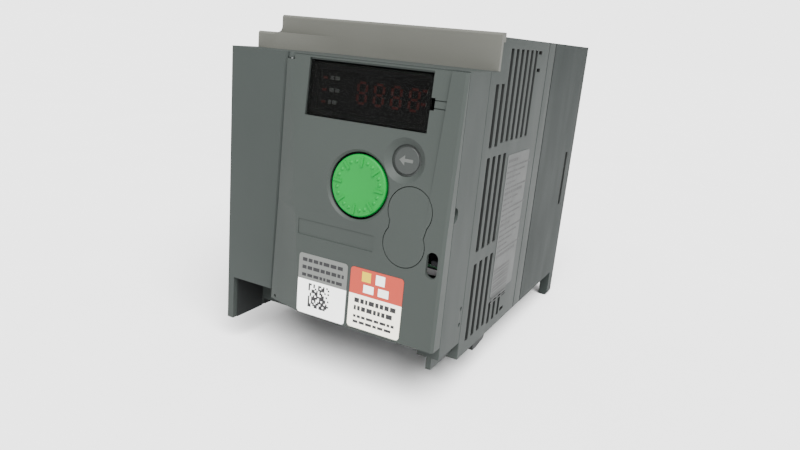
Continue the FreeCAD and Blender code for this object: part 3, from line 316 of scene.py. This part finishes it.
MATERIALS = {name: moulded_plastic(name, **look) for name, look in PLASTICS.items()}
MATERIALS["window_smoke"] = smoked_window()
MATERIALS["display_red"] = display_red()
MATERIALS["board_green"] = circuit_board()
MATERIALS["steel"] = metal("steel", (0.55, 0.55, 0.56))
MATERIALS["brass"] = metal("brass", (0.62, 0.45, 0.2))
MATERIALS["aluminium"] = metal("aluminium", (0.62, 0.63, 0.64), 0.35, stretch=(40, 40, 1))

PAPER = (0.82, 0.83, 0.81)
CREAM = (0.8, 0.77, 0.66)
SILVER = (0.083, 0.087, 0.081)
ORANGE = (0.3, 0.016, 0.0004)
GREY_LOW = (0.0225, 0.0252, 0.024)
GREY_HIGH = (0.0235, 0.0262, 0.025)
LABEL_SPLIT = 28.6 * MM
SIDE_SPLIT = 50 * MM
LABELS = {
    "type_label": film("type_film", PAPER, SILVER, LABEL_SPLIT),
    "notice_label": film("notice_film", CREAM, ORANGE, LABEL_SPLIT),
    "side_label": film("side_film", GREY_LOW, GREY_HIGH, SIDE_SPLIT, roughness=0.55),
}

# Every node takes its record slot's material, apart from the labels and these.
SLOT_OF = {entry["node"]: entry["material_slot"] for entry in frame["record"]["subparts"]}
# The rear shroud takes a darker copy of the casing plastic, partly painted shade.
OWN_FINISH = {"rear_shroud": "shroud_grey_and_painted_shade", "seal_eyelet": "module_black"}


# ---------------------------------------------------------------- mesh helpers

SHARP_ANGLE = math.radians(32)
WELD_DISTANCE = 0.002 * MM
BEVEL_SEGMENTS = 2


def mesh_from(form, name):
    mesh = bpy.data.meshes.new(name)
    form.to_mesh(mesh)
    form.free()
    return mesh


def new_object(name, mesh):
    piece = bpy.data.objects.new(name, mesh)
    scene.collection.objects.link(piece)
    return piece


def new_piece(name, mesh, material, body):
    piece = new_object(name, mesh)
    piece.data.materials.append(material)
    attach(piece, body)


def slab(form, corners, rise):
    """Adds a closed slab between flat corners and the same corners moved by the rise."""
    base = [form.verts.new(corner) for corner in corners]
    top = [form.verts.new(corner + rise) for corner in corners]
    form.faces.new(top)
    form.faces.new(list(reversed(base)))
    for index in range(len(corners)):
        following = (index + 1) % len(corners)
        form.faces.new((base[index], base[following], top[following], top[index]))


def smooth_by_angle(mesh):
    """Smooth shading, with the sharp edges kept crisp."""
    form = bmesh.new()
    form.from_mesh(mesh)
    for face in form.faces:
        face.smooth = True
    for edge in form.edges:
        edge.smooth = len(edge.link_faces) == 2 and edge.calc_face_angle(0) < SHARP_ANGLE
    form.to_mesh(mesh)
    form.free()


def apply_modifier(piece, modifier):
    with bpy.context.temp_override(object=piece, active_object=piece):
        bpy.ops.object.modifier_apply(modifier=modifier.name)


def round_edges(piece, width):
    bevel = piece.modifiers.new("edges", "BEVEL")
    bevel.width = width
    bevel.segments = BEVEL_SEGMENTS
    bevel.limit_method = "ANGLE"
    bevel.angle_limit = SHARP_ANGLE
    bevel.miter_outer = "MITER_ARC"
    apply_modifier(piece, bevel)


def weight_normals(piece):
    """Keeps large faces flat in shade, so that only their rounded edges turn the light."""
    weighted = piece.modifiers.new("weighted", "WEIGHTED_NORMAL")
    weighted.keep_sharp = True
    apply_modifier(piece, weighted)


# ---------------------------------------------------------------- louvres and seen edges

LOUVRE_FIRST = 26.8 * MM
LOUVRE_PITCH = 6.3 * MM
SLOTS_TOP = 127 * MM
SKIN = 0.05 * MM
FLANK_TURN = 0.5

# Each group is its columns and the heights above the bottom that its slots run between, in mm.
LOUVRE_GROUPS = (
    (range(0, 2), 88, 112.5),
    (range(2, 8), 89, 126),
    (range(0, 4), 45.5, 84),
    (range(0, 4), 6, 40),
    (range(4, 7), 4.8, 15),
)


def louvre_blades(side, word):
    """Slanted blades behind the slots, which hide the inside of the casing."""
    outer = side * (SIDE - 0.5 * MM)
    inner = side * (SIDE - 5.2 * MM)
    thick = 0.9 * MM
    slant = 5.2 * MM
    lead = 0.2 * MM
    overlap = 0.6 * MM
    form = bmesh.new()
    for columns, low, high in LOUVRE_GROUPS:
        base = BOTTOM + low * MM - overlap
        rise = Vector((0, 0, (high - low) * MM + 2 * overlap))
        for column in columns:
            front = SEAM + LOUVRE_FIRST + column * LOUVRE_PITCH - lead
            back = front + slant
            section = [(outer, front - thick), (inner, back - thick), (inner, back), (outer, front)]
            slab(form, [Vector((x, y, base)) for x, y in section], rise)
    bmesh.ops.recalc_face_normals(form, faces=form.faces)
    name = f"louvre_blades_{word}"
    # The blades take the painted shade too: a dark sheet where the inside of the slots lies in shade.
    new_piece(name, mesh_from(form, name), MATERIALS["slot_painted_shade"], "root")


def shade_slots(mesh):
    """Paints shade on the flanks of the slots in both sides, with a darker copy of the casing's plastic."""
    mesh.materials.append(MATERIALS["slot_painted_shade"])
    for face in mesh.polygons:
        in_wall = SIDE - WALL < abs(face.center.x) < SIDE - SKIN
        behind_front = SEAM + LOUVRE_FIRST - 1 * MM < face.center.y
        in_height = BOTTOM + WALL < face.center.z < BOTTOM + SLOTS_TOP
        is_flank = abs(face.normal.x) < FLANK_TURN
        if in_wall and behind_front and in_height and is_flank:
            face.material_index = 1


# The nodes whose edges are seen, with how wide each one's edges are rounded, in mm.
SOFT_EDGES = {
    "main_casing": 0.35,
    "top_cover": 0.3,
    "front_housing": 0.4,
    "front_door": 0.3,
    "blanking_panel": 0.15,
    "rear_shroud": 0.5,
    "cable_guard": 0.2,
    "jog_dial": 0.12,
    "exit_button": 0.15,
    "display_window": 0.15,
    "seal_eyelet": 0.15,
    "fan_frame": 0.3,
    "fan_guard": 0.2,
    "fan_rotor": 0.2,
}


def soften(node, width, material):
    """Shows a copy of a CAD node with its sharp edges rounded in the node's place."""
    source = nodes[node]
    form = bmesh.new()
    form.from_mesh(source.data)
    bmesh.ops.remove_doubles(form, verts=form.verts, dist=WELD_DISTANCE)
    name = f"{node}_soft"
    piece = new_object(name, mesh_from(form, name))
    round_edges(piece, width)
    smooth_by_angle(piece.data)
    weight_normals(piece)
    piece.data.materials.clear()
    piece.data.materials.append(material)
    if node in ("main_casing", "rear_shroud"):
        shade_slots(piece.data)
    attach(piece, source["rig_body"])
    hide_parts(node)


def dress_nodes():
    """Gives every CAD node its finish, and rounds the edges of those that are seen."""
    for name, node in nodes.items():
        material = LABELS.get(name) or MATERIALS[OWN_FINISH.get(name, SLOT_OF[name])]
        if name in SOFT_EDGES:
            soften(name, SOFT_EDGES[name] * MM, material)
            continue
        node.data.materials.clear()
        node.data.materials.append(material)


# ---------------------------------------------------------------- printing on labels and keypad

DOOR_OUT = Vector((0, -1, 0))
SIDE_OUT = Vector((1, 0, 0))
KEYPAD_OUT = (KEYPAD.to_3x3() @ DOOR_OUT).normalized()
INK_THICKNESS = 0.03 * MM
LABEL_LIFT = 0.15 * MM
DISPLAY_LIFT = 0.1 * MM
DASH_SHORTEST = 1.0 * MM
DASH_LONGEST = 3.2 * MM
DASH_GAP = 0.55 * MM
DASH_MARGIN = 0.8 * MM


def printed(name, marks, place, outward, ink, body, lift):
    """One mesh of flat printed marks: each mark is a list of (across, up) corners."""
    form = bmesh.new()
    for mark in marks:
        slab(form, [place(across, up, lift) for across, up in mark], outward * INK_THICKNESS)
    bmesh.ops.recalc_face_normals(form, faces=form.faces)
    new_piece(name, mesh_from(form, name), MATERIALS[ink], body)


def bar(left, low, width, height):
    return [(left, low), (left + width, low), (left + width, low + height), (left, low + height)]


def dashes(left, right, low, height, seed):
    """A row of bars of uneven length, as a stand-in for a line of print."""
    draw = random.Random(seed)
    marks = []
    across = left
    while across < right - DASH_MARGIN:
        width = min(draw.uniform(DASH_SHORTEST, DASH_LONGEST), right - across)
        marks.append(bar(across, low, width, height))
        across += width + DASH_GAP
    return marks


def random_code(left, low, cell, cells, filled, seed):
    """A square of cells, filled at random."""
    draw = random.Random(seed)
    marks = []
    for column in range(cells):
        for line in range(cells):
            if draw.random() < filled:
                marks.append(bar(left + column * cell, low + line * cell, cell, cell))
    return marks


# Each line of print is its height above the bottom, its letter height and its right end, in mm.
TYPE_LINES = ((36.2, 1.5, 11.4), (33.0, 1.5, 11.4), (29.9, 1.3, 11.4))
NOTICE_LINES = ((25.2, 1.9, 35.6), (22.0, 1.9, 35.0), (18.9, 1.1, 35.4), (16.6, 1.1, 34.6))


def print_lines(lines, left, first_seed):
    marks = []
    for row, (low, height, right) in enumerate(lines):
        marks += dashes(left, right * MM, low * MM, height * MM, first_seed + row)
    return marks


def print_on_door(name, marks, ink):
    printed(name, marks, lower_face, DOOR_OUT, ink, "front_door", LABEL_LIFT)


def print_type_label():
    """Lines of print over a square of cells filled at random."""
    marks = print_lines(TYPE_LINES, left=-8.6 * MM, first_seed=10)
    marks += random_code(left=-5.0 * MM, low=17.2 * MM, cell=0.78 * MM, cells=13, filled=0.55, seed=4)
    print_on_door("type_print", marks, "ink_dark")


def print_notice_label():
    """Two rows of plain panels, the first of them yellow, over four lines of print."""
    square = 4.0 * MM
    square_low = 34.4 * MM
    white = [bar(25.8 * MM, square_low, square, square)]
    for left in (20.6, 27.2):
        white.append(bar(left * MM, 30.0 * MM, 4.6 * MM, 3.2 * MM))
    print_on_door("notice_white", white, "ink_white")
    yellow = [bar(19.6 * MM, square_low, square, square)]
    print_on_door("notice_yellow", yellow, "ink_yellow")
    dark = print_lines(NOTICE_LINES, left=17.0 * MM, first_seed=30)
    print_on_door("notice_dark", dark, "ink_dark")


def print_side_label():
    """Lines of uneven length over a block of stripes, on the right side."""
    def place(across, up, lift):
        return Vector((SIDE + lift, SEAM + across, BOTTOM + up))

    left = 53.6 * MM
    shortest = 12.4 * MM
    longer = 6 * MM
    highest = 79 * MM
    line_pitch = 2.4 * MM
    marks = []
    for row in range(19):
        height = 1.3 * MM if row % 6 == 0 else 0.8 * MM
        right = left + shortest + longer * (row * 7 % 4)
        marks += dashes(left, right, highest - row * line_pitch, height, 60 + row)

    lowest = 14 * MM
    stripe_pitch = 1.4 * MM
    stripe_length = 20 * MM
    for row in range(12):
        thickness = (0.5 + 0.3 * (row % 3)) * MM
        marks.append(bar(left, lowest + row * stripe_pitch, stripe_length, thickness))
    printed("side_print", marks, place, SIDE_OUT, "ink_faded", "root", LABEL_LIFT)


def print_exit_mark():
    """A plain arrow on the exit key's cap."""
    low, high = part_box("exit_button")
    middle = (low.x + high.x) / 2

    def on_cap(across, up, lift):
        return keypad_point(middle + across, EXIT_FRONT - lift, EXIT_UP + up)

    tip = -3.0 * MM
    neck = -0.8 * MM
    head_half = 1.9 * MM
    shaft_half = 0.6 * MM
    shaft_length = 3.4 * MM
    head = [(tip, 0), (neck, -head_half), (neck, head_half)]
    shaft = bar(neck, -shaft_half, shaft_length, 2 * shaft_half)
    printed("exit_mark", [head, shaft], on_cap, KEYPAD_OUT, "ink_key", "exit_button", 0.0)


def print_display_marks():
    """The small marks beside the digits, under the window."""
    def under_window(across, up, lift):
        return keypad_point(across, MODULE_FRONT - lift, up)

    left = -6.4 * MM
    right = -1.8 * MM
    marks = []
    for row, up in enumerate((51.0, 46.4, 41.8)):
        marks += dashes(left, right, up * MM, 1.5 * MM, 80 + row)

    past_digits = 35.4 * MM
    for up in (50.2, 45.6):
        marks.append(bar(past_digits, up * MM, 0.9 * MM, 1.6 * MM))
    printed(
        "display_marks", marks, under_window, KEYPAD_OUT, "ink_mark", "root", DISPLAY_LIFT
    )


# ---------------------------------------------------------------- stage, light and camera

FLOOR_SIZE = 30.0
FLOOR_CELLS = 8
FLOOR_GAP = 0.2 * MM
FLOOR_PALE = (0.86, 0.86, 0.86)


def build_stage():
    form = bmesh.new()
    bmesh.ops.create_grid(form, x_segments=FLOOR_CELLS, y_segments=FLOOR_CELLS, size=FLOOR_SIZE / 2)
    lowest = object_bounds()[0].z
    floor = new_object("floor", mesh_from(form, "floor"))
    floor.location = (0, 0, lowest - FLOOR_GAP)
    look = dict(color=FLOOR_PALE, roughness=0.8, grain=FINE_GRAIN, variation=0.01, shine=0.0)
    floor.data.materials.append(moulded_plastic("floor_pale", **look))


WHITE = (1, 1, 1, 1)
AROUND_STRENGTH = 0.7
BACKDROP_STRENGTH = 3.3
KEY_FROM = Vector((0.42, -0.6, 0.95))
KEY_STRENGTH = 12.6
KEY_SPREAD = math.radians(50)


def set_background(background, strength):
    background.inputs["Color"].default_value = WHITE
    background.inputs["Strength"].default_value = strength


def build_world():
    """Even light all round, in front of a brighter backdrop that only the camera sees."""
    world = bpy.data.worlds.new("studio")
    scene.world = world
    world.use_nodes = True
    tree = world.node_tree
    around = tree.nodes["Background"]
    set_background(around, AROUND_STRENGTH)
    backdrop = tree.nodes.new("ShaderNodeBackground")
    set_background(backdrop, BACKDROP_STRENGTH)
    seen = tree.nodes.new("ShaderNodeLightPath")
    mix = tree.nodes.new("ShaderNodeMixShader")
    tree.links.new(seen.outputs["Is Camera Ray"], mix.inputs["Fac"])
    tree.links.new(around.outputs["Background"], mix.inputs[1])
    tree.links.new(backdrop.outputs["Background"], mix.inputs[2])
    tree.links.new(mix.outputs["Shader"], tree.nodes["World Output"].inputs["Surface"])


def build_key_light():
    """One wide, soft light from above, in front and to the right."""
    lamp = bpy.data.lights.new("key", "SUN")
    lamp.energy = KEY_STRENGTH
    lamp.angle = KEY_SPREAD
    key = new_object("key", lamp)
    key.rotation_euler = (-KEY_FROM).to_track_quat("-Z", "Y").to_euler()


CAMERA_PLACE = Vector((139.8, -215.3, 126.4)) * MM + Vector((0, SEAM, BOTTOM))
CAMERA_TURN = math.radians(26.88)
CAMERA_PITCH = math.radians(-15.80)
CAMERA_ROLL = math.radians(5.19)
CAMERA_LENS = 29.73
CAMERA_SENSOR = 36.0
CAMERA_NEAREST = 0.01


def build_camera():
    data = bpy.data.cameras.new("photo_camera")
    data.lens = CAMERA_LENS
    data.sensor_width = CAMERA_SENSOR
    data.clip_start = CAMERA_NEAREST
    camera = new_object("photo_camera", data)
    aim = Euler((math.pi / 2 + CAMERA_PITCH, 0, CAMERA_TURN)).to_quaternion()
    roll = Quaternion((0, 0, 1), CAMERA_ROLL)
    camera.location = CAMERA_PLACE
    camera.rotation_mode = "QUATERNION"
    camera.rotation_quaternion = aim @ roll
    scene.camera = camera


build_camera()
dress_nodes()
print_type_label()
print_notice_label()
print_side_label()
print_exit_mark()
print_display_marks()
louvre_blades(1, "right")
louvre_blades(-1, "left")
build_stage()
build_world()
build_key_light()
